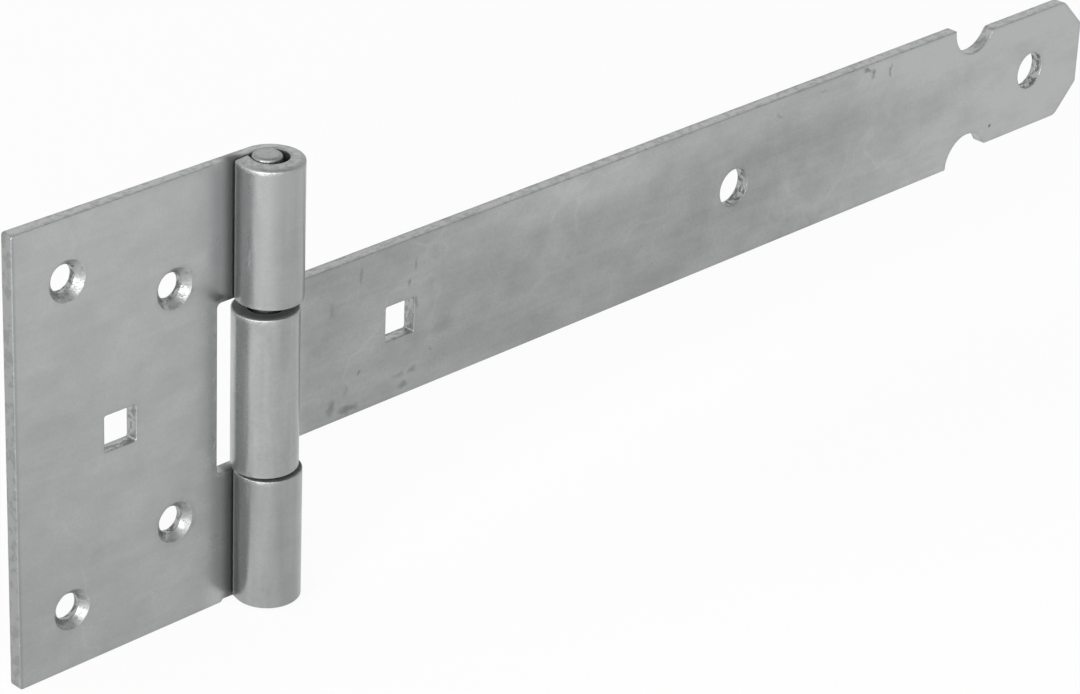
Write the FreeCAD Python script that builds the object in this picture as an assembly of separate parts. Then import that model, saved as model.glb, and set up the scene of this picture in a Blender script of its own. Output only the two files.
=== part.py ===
import FreeCAD, Part
import math
import os

# Tee hinge of zinc plated steel strip: a broad plate leaf with two rolled eyes, a long strap leaf
# with one rolled eye between them, and the pin that runs through all three.
#
# Frame, in millimetres: +X along the strap to its tip, +Y from the visible front to the mounting
# face, +Z up along the pin. The origin is on the mounting face, midway between the inner screws.
# Both leaves have their back faces in the plane Y = 0 and the eyes stand out to the front.

# Driving sizes of the strip, the pin and the eyes
sheet_thickness = 3.5
pin_diameter = 7.0
pin_play = 0.85              # the eyes are rolled this much wider than the pin, on the radius
pin_seat_clearance = 0.05    # left between the pin and the walls of the eyes it rests on
pin_rest_angle = 45.0        # where the pin rests in the plate's eyes, from straight back to -X
pin_proud = 0.85             # the pin's upper end above the plate's top edge
pin_end_recess = 0.6         # the pin's lower end above the foot of the lower eye
pin_end_radius = 0.8
roll_end_gap = 0.3           # between the cut end of a roll and the strip it closes on
roll_straight_angle = 15.0   # the last stretch of a roll stays straight from this angle
edge_break = 0.35            # width of the small chamfer on the punched and tumbled edges
clear_angle = 30.0           # faces that meet more sharply than this have an edge to break

# Driving sizes of the plate leaf
plate_width = 57.5           # from the plate's free edge to the window
outer_eye_height = 34.0
foot_relief = 0.7            # the lower eye ends this much above the plate's bottom edge
foot_relief_setback = 1.3    # from the line of the window's edge to where that step begins
window_clearance = 2.55      # between the strap's eye and the window's edge
window_corner_radius = 1.2
plate_corner_radius = 0.8
screw_hole_diameter = 6.5
countersink_diameter = 10.0
countersink_angle = 90.0
outer_screw_margin = 15.0    # from the plate's free edge, and from its top and bottom edges
inner_screw_setback = 12.5   # from the window's edge
inner_screw_rise = 7.75      # beyond the window's top and bottom edges
plate_square_margin = 29.3   # from the plate's free edge to the square hole

# Driving sizes of the strap leaf
strap_length = 301.0         # from the axis of its eye to the tip
strap_width = 40.0
lower_end_play = 1.1         # between the strap's eye and the lower eye of the plate
upper_end_play = 1.9
square_hole_side = 9.0
square_hole_corner_radius = 0.5
strap_square_distance = 46.0     # from the axis of the strap's eye
strap_middle_hole_distance = 161.5
tip_hole_margin = 21.0           # from the tip
round_hole_diameter = 10.0
head_width = 33.2                # the head beyond the two scalloped notches
head_chamfer = 8.0
head_shoulder_radius = 3.0       # where the chamfers leave the head's long edges
head_corner_radius = 0.6         # where they meet the tip
scallop_radius = 8.2
scallop_margin = 46.0            # from the tip to the centre of the notches
scallop_corner_radius = 1.5      # on the corners of the notches that face the head

# Sizes that follow
eye_inner_radius = pin_diameter / 2 + pin_play
eye_outer_radius = eye_inner_radius + sheet_thickness
window_height = strap_width + lower_end_play + upper_end_play
plate_height = window_height + 2 * outer_eye_height
plate_top = plate_height / 2
window_top = window_height / 2
pin_slack = pin_play - pin_seat_clearance
pin_shift_x = pin_slack * math.sin(math.radians(pin_rest_angle))
pin_shift_y = pin_slack * math.cos(math.radians(pin_rest_angle))
strap_shift_x = 2 * pin_shift_x    # the strap's eye rests on the other side of the pin
window_edge_x = inner_screw_setback
plate_edge_x = window_edge_x - plate_width
strap_axis_x = window_edge_x + window_clearance + eye_outer_radius
plate_axis_x = strap_axis_x + strap_shift_x
axis_y = -eye_outer_radius
outer_screw_x = plate_edge_x + outer_screw_margin
outer_screw_z = plate_top - outer_screw_margin
inner_screw_x = window_edge_x - inner_screw_setback
inner_screw_z = window_top + inner_screw_rise
strap_z = -window_top + lower_end_play + strap_width / 2
tip_x = strap_axis_x + strap_length
scallop_x = tip_x - scallop_margin
beyond = 2 * eye_outer_radius    # how far a cutting or bounding shape runs past the metal
same_place = 0.01                # points no further apart than this count as one
same_way = 0.99                  # directions count as one when their cosine is above this

CLOSES_PLATE = -1.0    # the plate's strip leaves its eyes towards -X
CLOSES_STRAP = 1.0     # the strap's strip leaves its eye towards +X


def tangent_corner(before, corner, after, radius):
    """The two tangent points and the middle point of a corner rounded to this radius."""
    inward = (before - corner).normalize()
    outward = (after - corner).normalize()
    half_angle = inward.getAngle(outward) / 2
    bisector = (inward + outward).normalize()
    setback = radius / math.tan(half_angle)
    first = corner + inward * setback
    last = corner + outward * setback
    middle = corner + bisector * (radius / math.sin(half_angle) - radius)
    return first, middle, last


def outline_prism(corners):
    """A prism right through the metal along Y, on an outline of (x, z, corner radius)."""
    points = [FreeCAD.Vector(x, -beyond, z) for x, z, radius in corners]
    edges = []
    start = None
    first_point = None
    for index, (x, z, radius) in enumerate(corners):
        before = points[index - 1]
        after = points[(index + 1) % len(points)]
        arrive = points[index]
        leave = points[index]
        if radius > 0:
            arrive, middle, leave = tangent_corner(before, points[index], after, radius)
        if start is None:
            first_point = arrive
        else:
            edges.append(Part.LineSegment(start, arrive).toShape())
        if radius > 0:
            edges.append(Part.Arc(arrive, middle, leave).toShape())
        start = leave
    edges.append(Part.LineSegment(start, first_point).toShape())
    return Part.Face(Part.Wire(edges)).extrude(FreeCAD.Vector(0, 2 * beyond, 0))


def rolled_strip(side, axis_x, reach, bottom, height):
    """A flat strip whose end is rolled into an eye that closes on the strip's front face.

    The section is drawn in the XY plane, with the distance from the eye's axis towards the
    strip as the first value of each point, and is extruded along Z.
    """
    outer = eye_outer_radius
    inner = eye_inner_radius
    angle = math.radians(roll_straight_angle)
    end_y = -sheet_thickness - roll_end_gap

    def point(away, y):
        return FreeCAD.Vector(axis_x + side * away, y, bottom)

    def straight_start(radius):
        return radius * math.cos(angle), axis_y + radius * math.sin(angle)

    def straight_end(radius):
        away, y = straight_start(radius)
        return away - (end_y - y) * math.tan(angle)

    outer_start = point(*straight_start(outer))
    inner_start = point(*straight_start(inner))
    outer_end = point(straight_end(outer), end_y)
    inner_end = point(straight_end(inner), end_y)
    back_tangent = point(0, 0)
    front_tangent = point(0, -sheet_thickness)
    back_far = point(reach, 0)
    front_far = point(reach, -sheet_thickness)
    # Each arc's middle point lies opposite the middle of the gap in the three-quarter roll
    middle_angle = (math.radians(90) + angle) / 2 + math.pi
    outer_middle = point(outer * math.cos(middle_angle), axis_y + outer * math.sin(middle_angle))
    inner_middle = point(inner * math.cos(middle_angle), axis_y + inner * math.sin(middle_angle))
    edges = [
        Part.LineSegment(back_far, back_tangent).toShape(),
        Part.Arc(back_tangent, outer_middle, outer_start).toShape(),
        Part.LineSegment(outer_start, outer_end).toShape(),
        Part.LineSegment(outer_end, inner_end).toShape(),
        Part.LineSegment(inner_end, inner_start).toShape(),
        Part.Arc(inner_start, inner_middle, front_tangent).toShape(),
        Part.LineSegment(front_tangent, front_far).toShape(),
        Part.LineSegment(front_far, back_far).toShape(),
    ]
    return Part.Face(Part.Wire(edges)).extrude(FreeCAD.Vector(0, 0, height))


def round_hole(x, z, diameter):
    start = FreeCAD.Vector(x, -beyond, z)
    return Part.makeCylinder(diameter / 2, 2 * beyond, start, FreeCAD.Vector(0, 1, 0))


def square_hole(x, z):
    half = square_hole_side / 2
    signs = ((-1, -1), (1, -1), (1, 1), (-1, 1))
    return outline_prism(
        [(x + a * half, z + b * half, square_hole_corner_radius) for a, b in signs])


def screw_hole(x, z):
    """A through hole with a countersink that opens on the front face."""
    slope = math.tan(math.radians(countersink_angle / 2))
    depth = (countersink_diameter - screw_hole_diameter) / 2 / slope
    mouth = FreeCAD.Vector(x, -sheet_thickness, z)
    cone = Part.makeCone(countersink_diameter / 2, screw_hole_diameter / 2, depth,
                         mouth, FreeCAD.Vector(0, 1, 0))
    return round_hole(x, z, screw_hole_diameter).fuse(cone)


def has_edge_to_break(shape, edge):
    """True for the edges of a cut, where it meets the strip's own front and back surfaces."""
    middle = edge.valueAt((edge.FirstParameter + edge.LastParameter) / 2)
    normals = []
    for face in shape.ancestorsOfType(edge, Part.Face):
        normals.append(face.normalAt(*face.Surface.parameter(middle)))
    if len(normals) != 2 or normals[0].getAngle(normals[1]) < math.radians(clear_angle):
        return False
    straight = edge.Curve.TypeId == "Part::GeomLine"
    through_thickness = straight and abs(edge.tangentAt(0).y) > same_way
    return not through_thickness


def break_edges(shape):
    edges = [edge for edge in shape.Edges if has_edge_to_break(shape, edge)]
    return shape.makeChamfer(edge_break, edges)


def make_plate_leaf():
    """The plate: two rolled eyes, a window between them, four screw holes and a square hole."""
    reach = plate_axis_x - plate_edge_x
    strip = rolled_strip(CLOSES_PLATE, plate_axis_x, reach, -plate_top, plate_height)
    far_x = plate_axis_x + beyond
    foot_x = window_edge_x + foot_relief_setback
    foot_z = -plate_top + foot_relief
    outline = outline_prism([
        (plate_edge_x, -plate_top, plate_corner_radius),
        (foot_x, -plate_top, 0),
        (foot_x + foot_relief, foot_z, 0),
        (far_x, foot_z, 0),
        (far_x, -window_top, 0),
        (window_edge_x, -window_top, window_corner_radius),
        (window_edge_x, window_top, window_corner_radius),
        (far_x, window_top, 0),
        (far_x, plate_top, 0),
        (plate_edge_x, plate_top, plate_corner_radius),
    ])
    holes = [square_hole(plate_edge_x + plate_square_margin, 0)]
    for sign in (-1, 1):
        holes.append(screw_hole(outer_screw_x, sign * outer_screw_z))
        holes.append(screw_hole(inner_screw_x, sign * inner_screw_z))
    return break_edges(strip.common(outline).cut(holes))


def make_strap_leaf():
    """The strap: one rolled eye, a square hole, two round holes and a chamfered head."""
    half_width = strap_width / 2
    half_head = head_width / 2
    strip = rolled_strip(CLOSES_STRAP, strap_axis_x, strap_length,
                         strap_z - half_width, strap_width)
    near_x = strap_axis_x - beyond
    chamfer_x = tip_x - head_chamfer
    lower_half = [
        (near_x, -half_width, 0),
        (scallop_x, -half_width, 0),
        (scallop_x, -half_head, 0),
        (chamfer_x, -half_head, head_shoulder_radius),
        (tip_x, -half_head + head_chamfer, head_corner_radius),
    ]
    upper_half = [(x, -z, radius) for x, z, radius in reversed(lower_half)]
    corners = [(x, strap_z + z, radius) for x, z, radius in lower_half + upper_half]
    holes = [
        square_hole(strap_axis_x + strap_square_distance, strap_z),
        round_hole(strap_axis_x + strap_middle_hole_distance, strap_z, round_hole_diameter),
        round_hole(tip_x - tip_hole_margin, strap_z, round_hole_diameter),
    ]
    for sign in (-1, 1):
        holes.append(round_hole(scallop_x, strap_z + sign * half_width, 2 * scallop_radius))
    blank = strip.common(outline_prism(corners)).cut(holes)
    corner_x = scallop_x + math.sqrt(scallop_radius ** 2 - (half_width - half_head) ** 2)
    notch_corners = []
    for edge in blank.Edges:
        if abs(edge.CenterOfMass.x - corner_x) < same_place:
            notch_corners.append(edge)
    return break_edges(blank.makeFillet(scallop_corner_radius, notch_corners))


def make_hinge_pin():
    """The pin lies loose in the eyes, on their back walls; both its ends are rounded."""
    bottom = -plate_top + foot_relief + pin_end_recess
    length = plate_top + pin_proud - bottom
    foot = FreeCAD.Vector(plate_axis_x - pin_shift_x, axis_y + pin_shift_y, bottom)
    pin = Part.makeCylinder(pin_diameter / 2, length, foot)
    rims = [edge for edge in pin.Edges if edge.Curve.TypeId == "Part::GeomCircle"]
    return pin.makeFillet(pin_end_radius, rims)


def export(name, shape):
    solids = shape.Solids
    if len(solids) != 1 or not shape.isValid():
        raise ValueError(name + " is not one sound solid")
    solids[0].exportStep("parts/" + name + ".step")


os.makedirs("parts", exist_ok=True)
export("plate_leaf", make_plate_leaf())
export("strap_leaf", make_strap_leaf())
export("hinge_pin", make_hinge_pin())
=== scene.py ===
import bmesh
import bpy
import numpy as np
from mathutils import Matrix, Vector
from mathutils.geometry import tessellate_polygon


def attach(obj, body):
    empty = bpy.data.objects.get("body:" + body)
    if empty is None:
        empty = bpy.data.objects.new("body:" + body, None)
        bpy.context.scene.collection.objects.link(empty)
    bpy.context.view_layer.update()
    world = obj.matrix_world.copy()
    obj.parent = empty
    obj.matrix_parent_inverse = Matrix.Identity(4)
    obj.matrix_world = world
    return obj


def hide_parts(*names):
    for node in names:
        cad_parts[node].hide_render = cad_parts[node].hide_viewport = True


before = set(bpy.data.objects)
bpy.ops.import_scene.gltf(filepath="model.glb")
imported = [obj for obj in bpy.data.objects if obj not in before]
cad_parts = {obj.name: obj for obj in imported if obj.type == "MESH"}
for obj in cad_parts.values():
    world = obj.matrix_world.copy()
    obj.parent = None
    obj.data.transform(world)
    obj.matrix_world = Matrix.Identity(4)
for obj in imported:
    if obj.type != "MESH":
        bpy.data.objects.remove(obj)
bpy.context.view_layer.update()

# A zinc plated tee hinge: the plate leaf, the long strap leaf and the pin. All sizes below are in
# millimetres in the part's frame: +X to the strap's tip, +Y to the mounting face, +Z up the pin.
MM = 0.001

THICKNESS = 3.5
EYE_RADIUS = 7.85            # outside of the rolled eyes
AXIS_Y = -EYE_RADIUS
STRAIGHT_ANGLE = np.radians(15.0)   # where the roll stops curving
ROLL_ANGLE = np.radians(270.0) + STRAIGHT_ANGLE
ROLL_END_GAP = 0.3
CURVED_LENGTH = EYE_RADIUS * ROLL_ANGLE
END_RISE = EYE_RADIUS - THICKNESS - ROLL_END_GAP   # from the axis up to the roll's cut end
STRAIGHT_LENGTH = (END_RISE - EYE_RADIUS * np.sin(STRAIGHT_ANGLE)) / np.cos(STRAIGHT_ANGLE)
ROLL_LENGTH = CURVED_LENGTH + STRAIGHT_LENGTH
# Where the outside of a roll meets its strip, from the axis of its eye
CLOSING = EYE_RADIUS * np.cos(STRAIGHT_ANGLE) - STRAIGHT_LENGTH * np.sin(STRAIGHT_ANGLE)

# The pin lies on the back wall of the plate's eyes, and the strap's eye on the pin's other side
SLACK = 0.8 * np.sin(np.radians(45))
STRAP_AXIS_X = 22.9
PIN_X = STRAP_AXIS_X + SLACK
PIN_Y = AXIS_Y + SLACK
PLATE_AXIS_X = PIN_X + SLACK
PIN_RADIUS = 3.5
PIN_BOTTOM = -54.2
PIN_TOP = 56.35
PIN_END_RADIUS = 0.8

# The plate: distances along the strip are from the axis of its eyes
PLATE_WIDTH = PLATE_AXIS_X + 45.0
PLATE_TOP = 55.5
PLATE_CORNER = 0.8
WINDOW_SETBACK = PLATE_AXIS_X - 12.5
WINDOW_TOP = 21.5
WINDOW_CORNER = 1.2
FOOT_RELIEF = 0.7
FOOT_SETBACK = WINDOW_SETBACK - 1.3
OUTER_SCREW = (PLATE_AXIS_X + 30.0, 40.5)
INNER_SCREW = (PLATE_AXIS_X, 29.25)
PLATE_SQUARE = PLATE_AXIS_X + 15.7
SCREW_HOLE_RADIUS = 3.25
COUNTERSINK_RADIUS = 5.0

# The strap: distances along it are from the axis of its own eye
STRAP_LENGTH = 301.0
STRAP_Z = -0.4
HALF_STRAP = 20.0
HALF_HEAD = 16.6
HEAD_CHAMFER = 8.0
HEAD_SHOULDER = 3.0
HEAD_CORNER = 0.6
SCALLOP_S = STRAP_LENGTH - 46.0
SCALLOP_RADIUS = 8.2
SCALLOP_CORNER = 1.5
STRAP_SQUARE = 46.0
MIDDLE_HOLE = 161.5
TIP_HOLE = STRAP_LENGTH - 21.0
BOLT_HOLE_RADIUS = 5.0
HALF_SQUARE = 4.5
SQUARE_CORNER = 0.5

EDGE_RADIUS = 0.3            # rounding left on every edge by the tumbling drum
RIM_WIDTH = 1.4              # the band along an edge that the drum has burnished
ROLL_CORNER = 0.5            # at the corners of a roll's cut end
BLEND = 5.0                  # length of strip over which the edge of the flat becomes the eye's
EDGE_STEPS = 6               # points across each rounding of an edge
WINDOW_REACH = WINDOW_TOP + 1.0     # outline rows nearer the middle than this are the window's
BORE_START = -1.0            # the painted shade inside an eye begins this far into the roll
TOUCH = 1e-6                 # points this near a line count as on it
WELD = 0.002                 # points nearer than this become one
SHARP_ANGLE = np.radians(32)        # faces that meet at more than this keep a sharp edge
# The rounding on the outside of an eye's ends, through the depth and along z, and how far the
# tight bend squeezes the end out at the bore: inside the window, and at the hinge's two ends
WINDOW_END = (0.4, 0.3, 0.0)
OUTER_END = (1.0, 0.6, 0.35)


def outline_at(corners, inset, arc_steps=6):
    """A rounded outline moved into the metal by inset.

    corners holds (s, z, radius) rows with the metal on the left of the path. Each corner moves
    along the mitre of its two sides. The radius shrinks by inset at a corner that points out of
    the metal and grows by it at one that points in, and the arc is swept from the normal of one
    side to the normal of the next.
    """
    point = corners[:, :2]
    radius = corners[:, 2]
    along = np.roll(point, -1, 0) - point
    along /= np.linalg.norm(along, axis=1)[:, None]
    leaving = np.stack([-along[:, 1], along[:, 0]], 1)
    arriving = np.roll(leaving, 1, 0)
    before = np.roll(along, 1, 0)
    turn = np.arctan2(before[:, 0] * along[:, 1] - before[:, 1] * along[:, 0],
                      (before * along).sum(1))
    mitre = (arriving + leaving) / (1 + (arriving * leaving).sum(1))[:, None]
    sense = np.where(turn >= 0, 1.0, -1.0)
    new_radius = np.where(radius > 0, np.maximum(radius - sense * inset, 0), 0)
    centre = point + inset * mitre + (sense * new_radius)[:, None] * mitre
    start = np.arctan2(arriving[:, 1], arriving[:, 0])
    step = np.linspace(0, 1, arc_steps)
    angle = start[:, None] + turn[:, None] * step[None, :]
    arc = centre[:, None, :] - (sense * new_radius)[:, None, None] * np.stack(
        [np.cos(angle), np.sin(angle)], 2)
    kept = (step[None, :] == 0) | (radius > 0)[:, None]
    return arc[kept]


def roll_up(s, z, t, axis_x, side):
    """Where a point of the flat blank lies on the finished leaf.

    s is the distance from the eye's axis along the strip, z the height and t the depth from the
    back face. For s above zero the strip is flat in the plane of the back face. Below zero it
    turns round the axis at the radius that its depth leaves, one eye radius of s for each radian,
    and its last stretch runs straight on, at a tangent, to the plane of the cut end.
    """
    radius = EYE_RADIUS - t
    turned = np.clip(-s / EYE_RADIUS, 0, ROLL_ANGLE)
    away = np.where(s >= 0, s, -radius * np.sin(turned))
    y = np.where(s >= 0, -t, AXIS_Y + radius * np.cos(turned))
    share = np.clip((-s - CURVED_LENGTH) / STRAIGHT_LENGTH, 0, 1)
    length = share * (END_RISE - radius * np.sin(STRAIGHT_ANGLE)) / np.cos(STRAIGHT_ANGLE)
    away = away - length * np.sin(STRAIGHT_ANGLE)
    y = y + length * np.cos(STRAIGHT_ANGLE)
    return np.stack([axis_x + side * away, y, z + 0 * s], -1)


def edge_section():
    """The section of a cut edge, from the front face round the wall to the back face.

    Rows of inset, depth and two marks: how far the row belongs to the burnished rim, and to the
    cut wall. Both roundings are quarter circles, and two rows lie on the flat wall between them.
    """
    angle = np.radians(np.linspace(0, 90, EDGE_STEPS))
    rim = np.ones(EDGE_STEPS)
    front = np.stack([EDGE_RADIUS * (1 - np.sin(angle)),
                      THICKNESS - EDGE_RADIUS * (1 - np.cos(angle)),
                      rim, np.linspace(0, 1, EDGE_STEPS)], 1)
    back = np.stack([EDGE_RADIUS * (1 - np.cos(angle)),
                     EDGE_RADIUS * (1 - np.sin(angle)),
                     rim, np.linspace(1, 0, EDGE_STEPS)], 1)
    return np.concatenate([
        [[RIM_WIDTH, THICKNESS, 0, 0]],
        front,
        [[0, THICKNESS * 0.65, 0, 1], [0, THICKNESS * 0.35, 0, 1]],
        back,
        [[RIM_WIDTH, 0, 0, 0]],
    ])


def eye_end_section(width, drop, bulge):
    """The rows of edge_section() as they run on an eye's end, as inset and depth.

    From the bore to the outside: a small rounding, the end face, which leans out towards the
    bore by the bulge, and a quarter of an ellipse down to the outside of the roll.
    """
    angle = np.radians(np.linspace(0, 90, EDGE_STEPS))
    depth = np.concatenate([THICKNESS - EDGE_RADIUS * (1 - np.cos(angle)),
                            [THICKNESS * 0.7, THICKNESS * 0.4], width * (1 - np.sin(angle))])
    inset = np.concatenate([EDGE_RADIUS * (1 - np.sin(angle)), [0, 0],
                            drop * (1 - np.cos(angle))])
    inset -= bulge * depth / THICKNESS
    return np.concatenate([[[RIM_WIDTH, THICKNESS]], np.stack([inset, depth], 1),
                           [[RIM_WIDTH, 0]]])


def worn_eye_end(loop, ring, t, index):
    """Moves one row of the outline's edge to the worn shape of an eye's end.

    The move is along z and through the depth only. Its weight is a smooth step of how far a
    point has come into the roll, times the fourth power of how squarely its side of the outline
    faces along z. That is read from how far a short trial inset moves the point.
    """
    flat = outline_at(loop, 0)
    trial = 0.2
    sense = (outline_at(loop, trial)[:, 1] - flat[:, 1]) / trial
    into = np.clip(1 - flat[:, 0] / BLEND, 0, 1)
    weight = into * into * (3 - 2 * into) * np.clip(np.abs(sense), 0, 1) ** 4
    outer = np.abs(flat[:, 1]) > WINDOW_REACH
    window_inset, window_depth = eye_end_section(*WINDOW_END)[index]
    outer_inset, outer_depth = eye_end_section(*OUTER_END)[index]
    inset = np.where(outer, outer_inset, window_inset)
    depth = np.where(outer, outer_depth, window_depth)
    z = ring[:, 1] + weight * (flat[:, 1] + np.sign(sense) * inset - ring[:, 1])
    return np.stack([ring[:, 0], z], 1), t + weight * (depth - t)


def band_faces(rows, columns, first, flip):
    """Quads of a closed band of points, rows by columns, numbered row by row from first."""
    row, column = np.meshgrid(np.arange(rows - 1), np.arange(columns), indexing="ij")
    after = (column + 1) % columns
    a = first + row * columns + column
    b = first + (row + 1) * columns + column
    c = first + (row + 1) * columns + after
    d = first + row * columns + after
    quads = np.stack([a, b, c, d], -1).reshape(-1, 4)
    return quads[:, ::-1] if flip else quads


def build_mesh(name, points, faces, marks):
    """One object from points in millimetres, faces, and named marks at its points."""
    mesh = bpy.data.meshes.new(name)
    mesh.from_pydata((points * MM).tolist(), [], [list(map(int, face)) for face in faces])
    for mark, values in marks.items():
        attribute = mesh.attributes.new(mark, "FLOAT", "POINT")
        attribute.data.foreach_set("value", values.astype(np.float32))
    mesh.polygons.foreach_set("use_smooth", [True] * len(mesh.polygons))
    thing = bpy.data.objects.new(name, mesh)
    bpy.context.scene.collection.objects.link(thing)
    return thing


def weld(thing):
    """Joins points that coincide, drops faces without area and marks the sharp edges."""
    work = bmesh.new()
    work.from_mesh(thing.data)
    bmesh.ops.remove_doubles(work, verts=work.verts, dist=WELD * MM)
    bmesh.ops.dissolve_degenerate(work, edges=work.edges, dist=WELD / 2 * MM)
    work.to_mesh(thing.data)
    work.free()
    thing.data.set_sharp_from_angle(angle=SHARP_ANGLE)
    weighted = thing.modifiers.new("flat faces stay flat", "WEIGHTED_NORMAL")
    weighted.keep_sharp = True
    weighted.weight = 100    # the largest face at a point decides how it is shaded


def leaf(name, axis_x, side, corners, eyes, holes):
    """A leaf: one outline and its holes, cut from flat strip, with the eyes rolled up.

    eyes lists the two outline heights that bound each eye. holes lists rows of loop, section and
    how far the punch has torn the wall.
    """
    points = []
    marks = {"rim": [], "cut": [], "hole": [], "bore": []}
    faces = []
    front_loops = []
    back_loops = []
    first = 0
    for loop, section, torn in [(corners, edge_section(), 0)] + holes:
        rows = []
        for index, (inset, depth, rim, cut) in enumerate(section):
            ring = outline_at(loop, inset)
            t = np.full(len(ring), depth)
            # At the rim's inner line the points of a rounded corner meet, so that row isn't moved
            if loop is corners and inset < RIM_WIDTH:
                ring, t = worn_eye_end(loop, ring, t, index)
            rows.append(roll_up(ring[:, 0], ring[:, 1], t, axis_x, side))
            marks["rim"].append(np.full(len(ring), rim))
            marks["cut"].append(np.full(len(ring), cut))
            marks["hole"].append(np.full(len(ring), cut * torn))
            in_window = np.abs(ring[:, 1]) < WINDOW_REACH
            # Painted shade inside the roll and on the eyes' ends at the window
            painted_shade = (depth == THICKNESS) & (rim == 0) | in_window & (cut == 1)
            marks["bore"].append((painted_shade & (ring[:, 0] < BORE_START)).astype(float))
            if index == 0:
                front_loops.append((first, ring))
            if index == len(section) - 1:
                back_loops.append((first + index * len(ring), ring))
        columns = len(ring)
        points.append(np.concatenate(rows))
        faces.extend(band_faces(len(section), columns, first, side < 0))
        first += len(section) * columns
    for loops, reverse in ((front_loops, side < 0), (back_loops, side > 0)):
        faces.extend(fill_face(loops, eyes, reverse))
    thing = build_mesh(name, np.concatenate(points), faces,
                       {mark: np.concatenate(values) for mark, values in marks.items()})
    weld(thing)
    return thing


def fill_face(loops, eyes, reverse):
    """The face between an outline and its holes: the flat part filled, the eyes ruled along z.

    loops holds the number of the first point and the ring of each loop, the outline first. The
    sides of an eye are paired by their distance along the strip, one quad for each step.
    """
    first, ring = loops[0]
    flat = np.flatnonzero(ring[:, 0] > -TOUCH)
    numbers = [first + flat]
    polylines = [[Vector((s, z, 0)) for s, z in ring[flat]]]
    for start, hole in loops[1:]:
        numbers.append(start + np.arange(len(hole)))
        polylines.append([Vector((s, z, 0)) for s, z in hole])
    flat_points = np.concatenate([np.array(line)[:, :2] for line in polylines])
    triangles = np.array(tessellate_polygon(polylines))
    corner = flat_points[triangles]
    one = corner[:, 1] - corner[:, 0]
    two = corner[:, 2] - corner[:, 0]
    clockwise = one[:, 0] * two[:, 1] - one[:, 1] * two[:, 0] < 0
    triangles[clockwise] = triangles[clockwise][:, ::-1]
    made = np.concatenate(numbers)[triangles]
    faces = list(made[:, ::-1] if reverse else made)
    rolled = ring[:, 0] < TOUCH
    for low, high in eyes:
        middle = (low + high) / 2
        near = np.abs(ring[:, 1] - middle) < (high - low) / 2 + TOUCH
        lower = np.flatnonzero(rolled & near & (ring[:, 1] < middle))
        upper = np.flatnonzero(rolled & near & (ring[:, 1] > middle))
        lower = lower[np.argsort(ring[lower, 0], kind="stable")]
        upper = upper[np.argsort(ring[upper, 0], kind="stable")]
        quads = first + np.stack([lower[:-1], lower[1:], upper[1:], upper[:-1]], 1)
        faces.extend(quads[:, ::-1] if reverse else quads)
    return faces


def round_loop(s, z, radius, sides=64):
    """A round hole as a many sided loop, walked clockwise so that the metal is on the left."""
    angle = -2 * np.pi * np.arange(sides) / sides
    return np.stack([s + radius * np.cos(angle), z + radius * np.sin(angle), 0 * angle], 1)


def square_loop(s, z):
    """A square hole with rounded corners, walked the same way round as a round one."""
    sign = np.array([[-1, -1], [-1, 1], [1, 1], [1, -1]])
    return np.column_stack([s + HALF_SQUARE * sign[:, 0], z + HALF_SQUARE * sign[:, 1],
                            np.full(4, SQUARE_CORNER)])


def countersink_section():
    """A screw hole's section: the flat front, a 45 degree cone and the straight bore behind it."""
    wide = COUNTERSINK_RADIUS - SCREW_HOLE_RADIUS
    soft = 0.12              # half the width of the rounding at the cone's mouth and at its foot
    dip = 0.02               # how far the mouth's rounding has sunk near its middle
    mouth_cut, foot_cut = 0.3, 0.4     # how far the cone counts as a cut wall there
    back = edge_section()[-EDGE_STEPS - 1:]
    return np.concatenate([
        [[wide + RIM_WIDTH, THICKNESS, 0, 0],
         [wide + soft, THICKNESS, 1, 0],
         [wide + soft / 4, THICKNESS - dip, 1, 0],
         [wide - soft, THICKNESS - soft - 2 * dip, 1, mouth_cut],
         [soft, THICKNESS - wide + soft, 0, foot_cut],
         [0, THICKNESS - wide - soft, 0, 1]],
        back,
    ])


def roll_samples():
    """Distances along the blank through the roll, from its cut end to the eye's back.

    They begin just past the rim of the cut end, even steps on the straight, then on the curve.
    """
    past_rim = 0.05
    straight = np.linspace(-ROLL_LENGTH + RIM_WIDTH + past_rim, -CURVED_LENGTH, 4)[:-1]
    curved = np.linspace(-CURVED_LENGTH, 0, 96)
    return np.concatenate([straight, curved])


def side_of_eye(z, outward):
    """Outline rows along one side of an eye, walked from its cut end or, outward, to it."""
    s = roll_samples()
    if outward:
        s = s[::-1]
    return np.column_stack([s, np.full(len(s), z), 0 * s])


def plate_outline():
    """The plate's blank as rows of s, z and corner radius, with the metal on the left.

    The walk goes from the cut end of the lower eye along its foot, down the small step, round
    the plate to the upper eye, and back through the window.
    """
    end = -ROLL_LENGTH
    foot = -PLATE_TOP + FOOT_RELIEF
    return np.concatenate([
        [[end, foot, ROLL_CORNER]],
        side_of_eye(foot, False),
        [[FOOT_SETBACK - FOOT_RELIEF, foot, 0],
         [FOOT_SETBACK, -PLATE_TOP, 0],
         [PLATE_WIDTH, -PLATE_TOP, PLATE_CORNER],
         [PLATE_WIDTH, PLATE_TOP, PLATE_CORNER]],
        side_of_eye(PLATE_TOP, True),
        [[end, PLATE_TOP, ROLL_CORNER],
         [end, WINDOW_TOP, ROLL_CORNER]],
        side_of_eye(WINDOW_TOP, False),
        [[WINDOW_SETBACK, WINDOW_TOP, WINDOW_CORNER],
         [WINDOW_SETBACK, -WINDOW_TOP, WINDOW_CORNER]],
        side_of_eye(-WINDOW_TOP, True),
        [[end, -WINDOW_TOP, ROLL_CORNER]],
    ])


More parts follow.
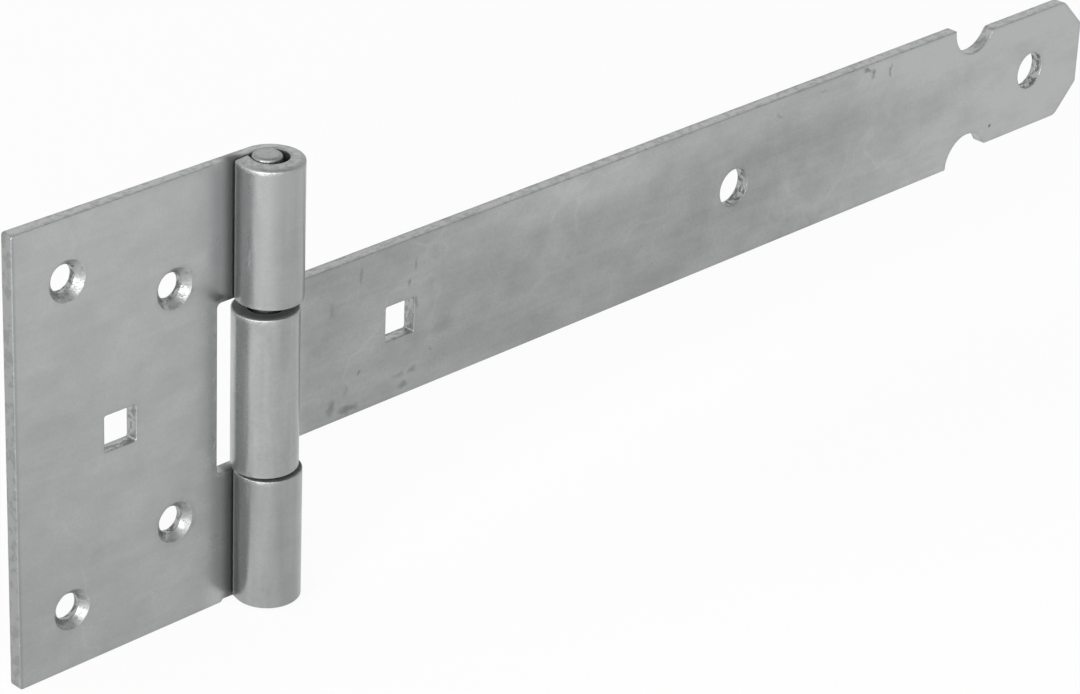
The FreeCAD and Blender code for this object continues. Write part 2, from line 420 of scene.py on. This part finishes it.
def strap_outline():
    """The strap's blank as rows of s, z and corner radius, with the metal on the left.

    The lower side runs from the eye to the notch, round its arc and its corner, and along half
    of the head. The upper side is its mirror image in the strap's middle line.
    """
    low = STRAP_Z - HALF_STRAP
    high = STRAP_Z + HALF_STRAP
    end = -ROLL_LENGTH
    # The corner between the notch and the head is an arc that touches both
    rise = HALF_STRAP - HALF_HEAD + SCALLOP_CORNER
    reach = np.sqrt((SCALLOP_RADIUS + SCALLOP_CORNER) ** 2 - rise ** 2)
    touch = np.arctan2(rise, reach)
    # The first step from the notch's sharp corner is longer than the burnished rim is wide, or
    # the rim's inner line would cross itself there
    first_step = 1.2 * RIM_WIDTH / SCALLOP_RADIUS
    angle = np.concatenate([[np.pi], np.linspace(np.pi - first_step, touch, 38)])
    scallop = np.stack([SCALLOP_S + SCALLOP_RADIUS * np.cos(angle),
                        low + SCALLOP_RADIUS * np.sin(angle), 0 * angle], 1)
    turn = np.linspace(touch + np.pi, 1.5 * np.pi, 8)[1:]
    corner = np.stack([SCALLOP_S + reach + SCALLOP_CORNER * np.cos(turn),
                       low + rise + SCALLOP_CORNER * np.sin(turn), 0 * turn], 1)
    head = [[STRAP_LENGTH - HEAD_CHAMFER, STRAP_Z - HALF_HEAD, HEAD_SHOULDER],
            [STRAP_LENGTH, STRAP_Z - HALF_HEAD + HEAD_CHAMFER, HEAD_CORNER]]
    lower = np.concatenate([scallop, corner, head])
    upper = lower[::-1] * [1, -1, 1] + [0, 2 * STRAP_Z, 0]
    return np.concatenate([
        [[end, low, ROLL_CORNER]],
        side_of_eye(low, False),
        lower,
        upper,
        side_of_eye(high, True),
        [[end, high, ROLL_CORNER]],
    ])


def pin(name):
    """The pin: a straight side and two flat ends, turned about its axis with rounded rims."""
    steps = 8
    sides = 96
    angle = np.radians(np.linspace(0, 90, steps))
    flat = PIN_RADIUS - PIN_END_RADIUS
    rim_r = flat + PIN_END_RADIUS * np.sin(angle)
    rim_z = PIN_END_RADIUS * (1 - np.cos(angle))
    inner = flat * 0.85      # a ring on the flat end, so that the rounding doesn't shade it
    radius = np.concatenate([[0, inner], rim_r, rim_r[::-1], [inner, 0]])
    z = np.concatenate([[PIN_BOTTOM] * 2, PIN_BOTTOM + rim_z,
                        (PIN_TOP - rim_z)[::-1], [PIN_TOP] * 2])
    rim = np.concatenate([[0, 0], np.ones(2 * steps), [0, 0]])
    end = np.concatenate([[1, 1], np.linspace(1, 0, steps), np.linspace(0, 1, steps), [1, 1]])
    turn = 2 * np.pi * np.arange(sides) / sides
    points = np.stack([PIN_X + radius[:, None] * np.cos(turn),
                       PIN_Y + radius[:, None] * np.sin(turn),
                       z[:, None] + 0 * turn], -1).reshape(-1, 3)
    faces = band_faces(len(radius), sides, 0, True)
    # Painted shade: the pin's side, between its rims, is painted darker
    bore = np.repeat(1 - np.maximum(rim, end), sides)
    thing = build_mesh(name, points, faces, {
        "rim": np.repeat(rim, sides), "cut": np.repeat(end / 2, sides), "hole": 0 * bore,
        "bore": bore})
    weld(thing)
    return thing


# Each hole as its loop, its section and how far the punch has torn its wall, from 0 to 1
plain_section = edge_section()
screw_section = countersink_section()
plate_holes = [(square_loop(PLATE_SQUARE, 0), plain_section, 0.4)]
for side in (-1, 1):
    for s, z in (OUTER_SCREW, INNER_SCREW):
        plate_holes.append((round_loop(s, side * z, SCREW_HOLE_RADIUS), screw_section, 0.8))
plate_piece = leaf("plate_of_strip", PLATE_AXIS_X, -1, plate_outline(),
                   [(-PLATE_TOP + FOOT_RELIEF, -WINDOW_TOP), (WINDOW_TOP, PLATE_TOP)],
                   plate_holes)
strap_holes = [
    (square_loop(STRAP_SQUARE, STRAP_Z), plain_section, 0.15),
    (round_loop(MIDDLE_HOLE, STRAP_Z, BOLT_HOLE_RADIUS), plain_section, 0.75),
    (round_loop(TIP_HOLE, STRAP_Z, BOLT_HOLE_RADIUS), plain_section, 0.75),
]
strap_piece = leaf("strap_of_strip", STRAP_AXIS_X, 1, strap_outline(),
                   [(STRAP_Z - HALF_STRAP, STRAP_Z + HALF_STRAP)], strap_holes)
pin_piece = pin("pin_of_rod")

for piece, body, node, slot in (
        (plate_piece, "plate", "plate_leaf", "plate_zinc"),
        (strap_piece, "strap", "strap_leaf", "strap_zinc"),
        (pin_piece, "plate", "hinge_pin", "pin_zinc")):
    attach(piece, body)
    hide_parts(node)


def linear(code):
    """Linear colour of an sRGB hex code such as 9FA3A4."""
    value = np.array([int(code[i:i + 2], 16) for i in (0, 2, 4)]) / 255
    low = value / 12.92
    high = ((value + 0.055) / 1.055) ** 2.4
    return tuple(np.where(value <= 0.04045, low, high)) + (1.0,)


def add(tree, kind, links=None, output=0, **settings):
    """One node with its settings, and its inputs linked or set by name or number."""
    node = tree.nodes.new(kind)
    for key, value in settings.items():
        setattr(node, key, value)
    for socket, source in (links or {}).items():
        if isinstance(source, bpy.types.NodeSocket):
            tree.links.new(source, node.inputs[socket])
        else:
            node.inputs[socket].default_value = source
    return node.outputs[output] if node.outputs else None


def zinc(name, dark, light, lift, closing, stains=()):
    """Bright zinc, barrel plated on cold rolled steel and left satin by the drum.

    To the eye it is a soft grey metal that mirrors large shapes: broad pale and dull clouds with
    faint tide lines from the rinse, a fine tumbled grain, streaks along the rolled eyes and dark
    spots where the punch tore the steel. Light and shade are painted on as well: the cut walls
    painted paler, painted shade along the plate's free edge and on the far side of the eyes, a
    painted reflection of the eye in a band of strip beside it, and painted shade in the crevice
    where a roll closes on the strip, inside the eyes, on their ends at the window and on the
    pin's side. The grain is drawn coarser than the real one, to show at all.

    dark and light are the colours of the clouds. lift(tree, x, z) gives what is added to them
    for the place on the piece, from the sockets of x and z in metres: painted light, paler in
    some places and darker in others. closing is the x and y of the line where the roll closes
    on the strip. stains lists single dull smears and specks on the front face as x, z, length,
    width, tilt and strength.
    """
    material = bpy.data.materials.new(name)
    material.use_nodes = True
    tree = material.node_tree
    tree.nodes.clear()
    where = add(tree, "ShaderNodeTexCoord", output="Object")
    x, y, z = (add(tree, "ShaderNodeSeparateXYZ", {0: where}, output=axis) for axis in "XYZ")
    mark = {key: add(tree, "ShaderNodeAttribute", attribute_name=key, output="Fac")
            for key in ("rim", "cut", "hole", "bore")}

    # Noises by the size of their grain in mm along X, Y and Z, with how many finer copies
    noise = {}
    for key, size, detail in (
            ("cloud", (42, 30, 26), 1.5),
            ("mottle", (9, 7, 6), 3.0),
            ("tide", (30, 30, 24), 3.0),
            ("grain", (0.9, 0.9, 0.9), 2.0),
            ("streak", (45, 2.2, 1.6), 2.0),
            ("swell", (5, 5, 5), 1.0),
            ("roller", (2.6, 2.6, 22), 1.5),
            ("tear", (1.7, 1.4, 1.7), 2.0)):
        mapped = add(tree, "ShaderNodeMapping",
                     {"Vector": where, "Scale": [1 / (value * MM) for value in size]})
        noise[key] = add(tree, "ShaderNodeTexNoise",
                         {"Vector": mapped, "Scale": 1.0, "Detail": detail}, output="Fac")

    # Pits: a spot in each cell of the pattern, kept in the few whose random number is low
    cell_size = 10 * MM
    cells = {"Vector": where, "Scale": 1 / cell_size}
    pit_away = add(tree, "ShaderNodeTexVoronoi", cells, output="Distance")
    pit_number = add(tree, "ShaderNodeTexVoronoi", cells, output="Color")
    # Tide lines run where a noise passes its middle value
    ridge = add(tree, "ShaderNodeMath", {0: noise["tide"], 1: 0.5}, operation="PINGPONG")
    level = add(tree, "ShaderNodeVectorMath", {0: where, 1: (1, 1, 0)}, operation="MULTIPLY")
    from_closing = add(tree, "ShaderNodeVectorMath",
                       {0: level, 1: (closing[0] * MM, closing[1] * MM, 0)},
                       output="Value", operation="DISTANCE")

    # Masks, each a smooth step of what it reads, from nothing at the first value to full at the
    # second. Below them come the masks that hold only where two of them, or a mark, meet.
    mask = {}
    for key, source, none, full in (
            ("tide", ridge, 0.475, 0.5),
            ("rinsed", noise["cloud"], 0.45, 0.6),
            ("torn", noise["tear"], 0.48, 0.62),
            ("pit", pit_away, 0.05, 0.015),
            ("few", pit_number, 0.2, 0.18),
            ("eye", y, -(THICKNESS + 0.6) * MM, -(THICKNESS + 2.0) * MM),
            ("strip", y, -(THICKNESS + 0.3) * MM, -(THICKNESS + 0.05) * MM),
            ("closing", from_closing, 4.0 * MM, 0.8 * MM),
            # painted reflection of the eye in the strip, 5 to 10 mm from where the roll closes
            ("mirrored eye band", from_closing, 10.0 * MM, 5.0 * MM),
            # painted shade on the far side of the eyes, from x = 17.5 mm on
            ("far side", x, 17.5 * MM, 21.5 * MM),
            # painted shade along the plate's free edge, over the lamp's highlight on its rounding
            ("free edge", x, -43.9 * MM, -44.6 * MM)):
        mask[key] = add(tree, "ShaderNodeMapRange", {0: source, 1: none, 2: full},
                        interpolation_type="SMOOTHSTEP")
    for key, one, two in (
            ("tide", mask["tide"], mask["rinsed"]),
            ("pit", mask["pit"], mask["few"]),
            # painted shade in the crevice where a roll closes on the strip
            ("crevice", mask["closing"], mask["strip"]),
            ("mirrored eye band", mask["mirrored eye band"], mask["strip"]),
            ("uneven rim", noise["tear"], mark["rim"]),
            ("far side", mask["far side"], mask["eye"]),
            ("torn hole", mask["torn"], mark["hole"]),
            ("torn edge", mask["torn"], mark["cut"]),
            ("roller", noise["roller"], mask["eye"])):
        mask[key] = add(tree, "ShaderNodeMath", {0: one, 1: two}, operation="MULTIPLY")

    # Each stain fades out from its middle to its outline, an ellipse on the front face. The
    # outline wanders, because a fine noise moves the place that the stains read.
    wander = 3.0 * MM
    wander_grain = 2.2 * MM
    stir = add(tree, "ShaderNodeTexNoise", {"Vector": where, "Scale": 1 / wander_grain},
               output="Color")
    centred = add(tree, "ShaderNodeVectorMath", {0: stir, 1: (0.5, 0.5, 0.5)},
                  operation="SUBTRACT")
    stirred = add(tree, "ShaderNodeVectorMath", {0: centred, 1: (wander, 0, wander), 2: where},
                  operation="MULTIPLY_ADD")
    mask["stain"] = 0.0
    for stain_x, stain_z, length, width, tilt, strength in stains:
        local = add(tree, "ShaderNodeMapping", {
            "Vector": stirred, "Location": (stain_x * MM, -THICKNESS * MM, stain_z * MM),
            "Rotation": (0, np.radians(-tilt), 0),
            "Scale": (length / 2 * MM, MM, width / 2 * MM)}, vector_type="TEXTURE")
        away = add(tree, "ShaderNodeVectorMath", {0: local}, output="Value", operation="LENGTH")
        spot = add(tree, "ShaderNodeMapRange", {0: away, 1: 1.0, 2: 0.1, 4: strength},
                   interpolation_type="SMOOTHSTEP")
        mask["stain"] = add(tree, "ShaderNodeMath", {0: mask["stain"], 1: spot},
                            operation="MAXIMUM")

    # How pale the zinc is, from its dark to its light colour, how rough, and its relief in mm.
    # Each is a sum of parts by their weight, and the clouds' own part is centred on zero.
    clouds = (("cloud", 0.6), ("mottle", 0.75), ("streak", 0.25), ("grain", 0.4))
    total = {}
    for key, base, parts in (
            ("pale", -sum(weight for _, weight in clouds) / 2,
             [(noise[key], weight) for key, weight in clouds]
             + [(lift(tree, x, z), 1.0), (mask["tide"], 0.14), (mask["roller"], 1.0),
                # painted reflection: the strip beside an eye is painted paler
                (mask["eye"], -0.4), (mask["mirrored eye band"], 0.4)]),
            ("rough", 0.34,
             [(noise["mottle"], -0.15), (noise["grain"], 0.04), (mark["rim"], 0.18),
              (mark["cut"], 0.08), (mask["torn hole"], 0.2), (mark["bore"], 0.3),
              (mask["pit"], 0.2), (mask["stain"], 0.15), (mask["closing"], 0.2)]),
            ("relief", 0.0,
             [(noise["grain"], 0.004), (noise["swell"], 0.03), (noise["streak"], 0.008),
              (mask["roller"], 0.1), (mask["pit"], -0.05), (mask["torn hole"], -0.12),
              (mask["torn edge"], -0.04), (mask["uneven rim"], 0.25),
              (mark["rim"], -0.12)])):
        total[key] = base
        for source, weight in parts:
            total[key] = add(tree, "ShaderNodeMath", {0: source, 1: weight, 2: total[key]},
                             operation="MULTIPLY_ADD")

    # Places over the clouds, each as its mask, its strength and its own tone: torn steel, pits and
    # stains, and painted light and shade on the cut walls, the free edge, the eyes' far side, the
    # crevice and inside the eyes
    colour = add(tree, "ShaderNodeMix", {0: total["pale"], 6: linear(dark), 7: linear(light)},
                 output=2, data_type="RGBA")
    for place, strength, tone in (
            # painted shade on the far side of the eyes
            (mask["far side"], 0.25, "6A6B6B"),
            # painted light: every cut wall is painted paler, for the light that the top walls
            # catch
            (mark["cut"], 0.8, "AEAFAF"), (mask["free edge"], 0.22, "6A6B6B"),
            (mask["torn edge"], 0.35, "727373"),
            (mask["torn hole"], 0.75, "5A5B5B"), (mask["pit"], 0.6, "4E4F4F"),
            # painted shade in the crevice where a roll closes on the strip
            (mask["stain"], 1.0, "565757"), (mask["crevice"], 0.75, "484949"),
            # painted shade inside the eyes, on their ends at the window and on the pin's side
            (mark["bore"], 0.8, "727373")):
        share = add(tree, "ShaderNodeMath", {0: place, 1: strength}, operation="MULTIPLY")
        colour = add(tree, "ShaderNodeMix", {0: share, 6: colour, 7: linear(tone)},
                     output=2, data_type="RGBA")

    bump = add(tree, "ShaderNodeBump", {"Height": total["relief"], "Distance": MM,
                                        "Strength": 1.0})
    shader = add(tree, "ShaderNodeBsdfPrincipled", {
        "Base Color": colour, "Metallic": 1.0, "Roughness": total["rough"], "Normal": bump})
    add(tree, "ShaderNodeOutputMaterial", {"Surface": shader})
    return material


def plate_painted_light(tree, x, z):
    """Painted light: the plate is painted a little paler towards its top, darker at its foot."""
    return add(tree, "ShaderNodeMapRange",
               {0: z, 1: -PLATE_TOP * MM, 2: PLATE_TOP * MM, 3: 0.2, 4: 0.8})


def strap_painted_light(tree, x, z):
    """Painted light: paler on the strap's eye, at its upper edge past the square hole and at its
    head.
    """
    along = add(tree, "ShaderNodeMapRange", {0: x, 1: 70 * MM, 2: 120 * MM},
                interpolation_type="SMOOTHSTEP")
    upper = add(tree, "ShaderNodeMapRange", {0: z, 1: 4 * MM, 2: 16 * MM, 4: 0.4},
                interpolation_type="SMOOTHSTEP")
    head = add(tree, "ShaderNodeMapRange", {0: x, 1: 200 * MM, 2: 300 * MM, 3: 0.25, 4: 0.95},
               interpolation_type="SMOOTHSTEP")
    eye = add(tree, "ShaderNodeMapRange", {0: x, 1: 31 * MM, 2: 29 * MM, 4: 0.45})
    rest = add(tree, "ShaderNodeMath", {0: head, 1: eye}, operation="ADD")
    return add(tree, "ShaderNodeMath", {0: along, 1: upper, 2: rest}, operation="MULTIPLY_ADD")


plate_closing = (PLATE_AXIS_X - CLOSING, -THICKNESS)
strap_closing = (STRAP_AXIS_X + CLOSING, -THICKNESS)
strap_stains = (
    (47.0, -16.3, 3.5, 7.0, 0, 0.45), (52.6, -18.2, 8.0, 2.2, 0, 0.5),
    (51.9, -13.5, 2.5, 6.0, 0, 0.22), (55.9, -10.1, 1.4, 1.4, 0, 0.6),
    (68.5, -14.8, 5.0, 2.0, 0, 0.35), (73.1, -14.6, 4.0, 2.0, 0, 0.4),
    (70.0, -17.7, 4.0, 3.0, 20, 0.45), (56.3, 14.9, 1.8, 7.0, 0, 0.3),
    (73.5, 12.2, 1.4, 5.0, 0, 0.35), (71.9, 8.4, 2.0, 4.0, 0, 0.45),
    (74.0, 2.7, 1.6, 4.5, 0, 0.35), (83.0, -6.0, 11.0, 7.0, 20, 0.2),
    (46.9, 8.9, 2.4, 6.0, 0, 0.25), (79.3, -11.0, 1.8, 1.5, 0, 0.3),
    (200.5, 14.8, 3.5, 1.5, -25, 0.3), (216.8, 17.0, 5.0, 1.5, -20, 0.2),
    (234.1, 18.3, 5.0, 1.8, -20, 0.6), (236.3, 16.8, 2.4, 3.0, 0, 0.6),
    (243.1, 15.7, 1.0, 6.0, 10, 0.5), (287.5, -12.4, 1.6, 1.5, 0, 0.9),
)
for piece, name, dark, light, lift, closing, stains in (
        (plate_piece, "zinc plated strip, plate", "9B9C9C", "B2B4B4", plate_painted_light,
         plate_closing, ()),
        (strap_piece, "zinc plated strip, strap", "8F9090", "B1B2B2", strap_painted_light,
         strap_closing, strap_stains),
        (pin_piece, "zinc plated rod, pin", "868787", "9E9FA0", plate_painted_light, plate_closing, ())):
    piece.data.materials.append(zinc(name, dark, light, lift, closing, stains))


# The floor, the lights and the camera
FLOOR_Z = -PLATE_TOP - 0.1
HALF_FLOOR = 6000.0
FLOOR_GLOW = 0.9             # how much of the floor is its own white where it is seen


def floor():
    """White paper: seen by the camera or in a mirror it is nearly white of itself."""
    corner = np.array([[-HALF_FLOOR, -HALF_FLOOR, FLOOR_Z], [HALF_FLOOR, -HALF_FLOOR, FLOOR_Z],
                       [HALF_FLOOR, HALF_FLOOR, FLOOR_Z], [-HALF_FLOOR, HALF_FLOOR, FLOOR_Z]])
    thing = build_mesh("floor", corner, [[0, 1, 2, 3]], {})
    material = bpy.data.materials.new("white paper floor")
    material.use_nodes = True
    tree = material.node_tree
    tree.nodes.clear()
    seen = 0.0
    for ray in ("Is Camera Ray", "Is Glossy Ray", "Is Transmission Ray"):
        path = add(tree, "ShaderNodeLightPath", output=ray)
        seen = add(tree, "ShaderNodeMath", {0: seen, 1: path}, operation="MAXIMUM")
    share = add(tree, "ShaderNodeMath", {0: seen, 1: FLOOR_GLOW}, operation="MULTIPLY")
    paper = add(tree, "ShaderNodeBsdfDiffuse", {"Color": linear("F4F4F4")})
    white = add(tree, "ShaderNodeEmission", {"Color": (1, 1, 1, 1), "Strength": 1.0})
    mixed = add(tree, "ShaderNodeMixShader", {0: share, 1: paper, 2: white})
    add(tree, "ShaderNodeOutputMaterial", {"Surface": mixed})
    thing.data.materials.append(material)


def soft_box(name, azimuth, elevation, distance, size, power):
    """A square lamp that faces the hinge, with its distance and size in metres, power in watts.

    Azimuth runs from straight in front of the hinge, at 0, towards the strap's tip.
    """
    a, e = np.radians([azimuth, elevation])
    target = Vector((60 * MM, 0, 0))
    back = Vector((np.sin(a) * np.cos(e), -np.cos(a) * np.cos(e), np.sin(e)))
    data = bpy.data.lights.new(name, "AREA")
    data.shape = "SQUARE"
    data.size = size
    data.energy = power
    thing = bpy.data.objects.new(name, data)
    thing.location = target + back * distance
    thing.rotation_euler = (-back).to_track_quat("-Z", "Y").to_euler()
    bpy.context.scene.collection.objects.link(thing)


def studio():
    """White all round, duller overhead where the paper ends and up at the camera's right.

    Each dull part is a smooth step of how far up a direction points, or of how close it is to
    the way into the room. The two multiply.
    """
    into_room = (0.645, -0.446, 0.62)
    world = bpy.data.worlds.new("studio")
    bpy.context.scene.world = world
    world.use_nodes = True
    tree = world.node_tree
    tree.nodes.clear()
    way = add(tree, "ShaderNodeTexCoord", output="Generated")
    height = add(tree, "ShaderNodeSeparateXYZ", {0: way}, output="Z")
    level = add(tree, "ShaderNodeMapRange", {0: height, 1: 0.72, 2: 0.88, 3: 1.0, 4: 0.45},
                interpolation_type="SMOOTHSTEP")
    room = add(tree, "ShaderNodeVectorMath", {0: way, 1: into_room},
               output="Value", operation="DOT_PRODUCT")
    share = add(tree, "ShaderNodeMapRange", {0: room, 1: 0.78, 2: 0.93, 3: 1.0, 4: 0.6},
                interpolation_type="SMOOTHSTEP")
    strength = add(tree, "ShaderNodeMath", {0: level, 1: share}, operation="MULTIPLY")
    sky = add(tree, "ShaderNodeBackground", {"Color": (1, 1, 1, 1), "Strength": strength})
    add(tree, "ShaderNodeOutputWorld", {"Surface": sky})


floor()
studio()
soft_box("key", -70, 14, 1.2, 0.6, 9)
soft_box("beside the camera", -38, 21, 1.2, 0.5, 4)

# The photograph's view, from a fit to the leaves' straight edges, eyes and holes
azimuth, elevation, roll = np.radians([-46.172, 26.498, 2.433])
camera_place = (-529.136, -623.2, 423.097)
forward = np.array([-np.sin(azimuth) * np.cos(elevation), np.cos(azimuth) * np.cos(elevation),
                    -np.sin(elevation)])
level = np.array([np.cos(azimuth), np.sin(azimuth), 0])
upright = np.cross(level, forward)
right = level * np.cos(roll) + upright * np.sin(roll)
up = upright * np.cos(roll) - level * np.sin(roll)
camera = bpy.data.objects.new("camera", bpy.data.cameras.new("camera"))
bpy.context.scene.collection.objects.link(camera)
camera.matrix_world = Matrix([
    [*[float(v) for v in row], float(p) * MM]
    for row, p in zip(np.stack([right, up, -forward], 1), camera_place)
] + [[0, 0, 0, 1]])
camera.data.sensor_width = 36
camera.data.lens = 136.88
camera.data.clip_start = 0.01
camera.data.clip_end = 50
bpy.context.scene.camera = camera
bpy.context.scene.view_settings.view_transform = "Standard"
